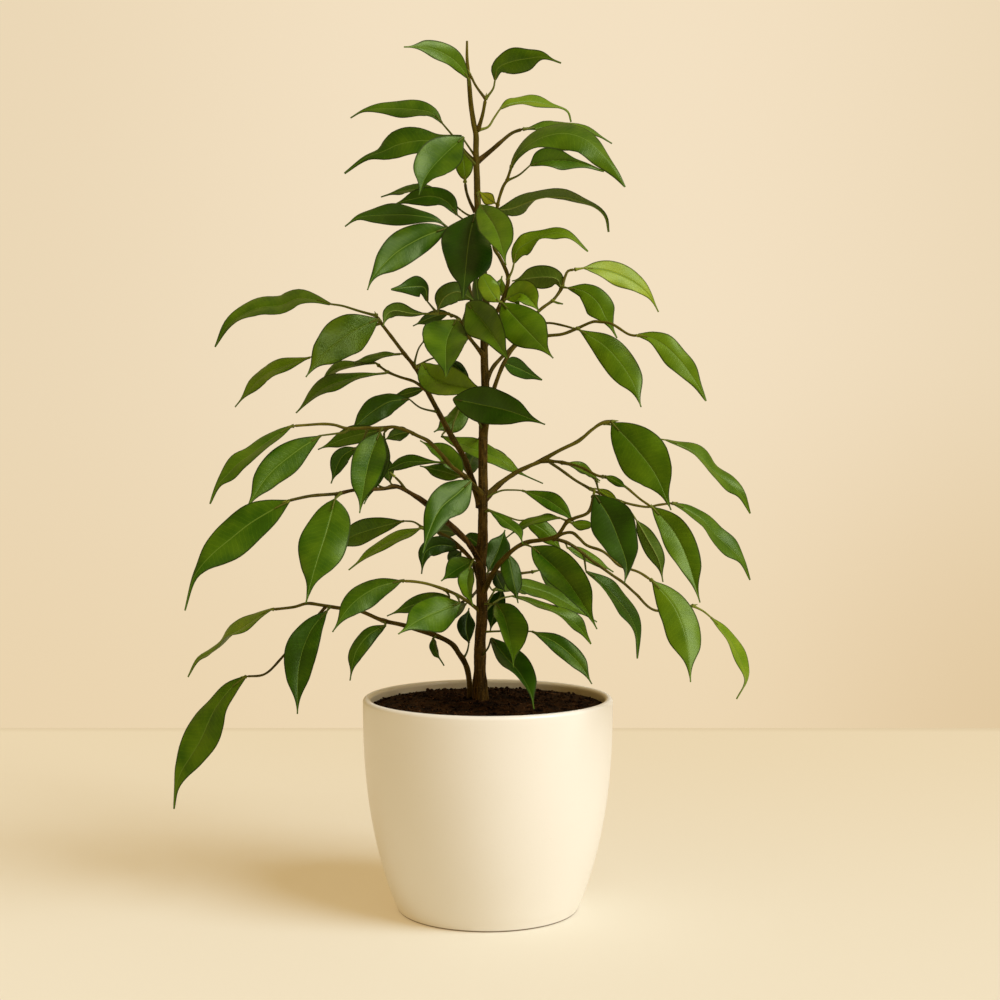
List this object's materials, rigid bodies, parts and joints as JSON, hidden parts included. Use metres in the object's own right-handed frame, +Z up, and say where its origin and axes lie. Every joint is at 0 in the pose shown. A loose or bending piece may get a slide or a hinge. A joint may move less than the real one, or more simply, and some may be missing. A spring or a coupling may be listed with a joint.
{
  "type": "potted weeping fig",
  "caption": "Young weeping fig with drooping, pointed glossy leaves on thin arching branches, standing in soil in a round cream ceramic cover pot.",
  "frame": {"origin": "middle of the pot's underside, on the surface that it stands on", "axes": "+Z up along the plant, -Y towards the viewer, +X to the viewer's right"},
  "size_m": [0.3396, 0.2147, 0.4837],
  "materials": {
    "cream_glaze": "satin cream glaze",
    "potting_mix": "dark, crumbly and matte",
    "leaf_green": "glossy green leaves on olive-brown bark"
  },
  "bodies": {
    "root": {"pot": "cream_glaze", "soil": "potting_mix", "trunk": "leaf_green", "shoot": "leaf_green", "branch_upper_left": "leaf_green", "branch_front_left": "leaf_green", "branch_middle_left": "leaf_green", "branch_low_left": "leaf_green", "branch_inner_left": "leaf_green", "twig_low_left": "leaf_green", "branch_upper_right": "leaf_green", "branch_right_climb": "leaf_green", "branch_right_reach": "leaf_green", "branch_middle_right": "leaf_green", "branch_low_right": "leaf_green", "branch_back_high": "leaf_green", "branch_back_middle": "leaf_green", "branch_back_left": "leaf_green", "branch_back_right": "leaf_green", "branch_back_low": "leaf_green"}
  },
  "joints": []
}
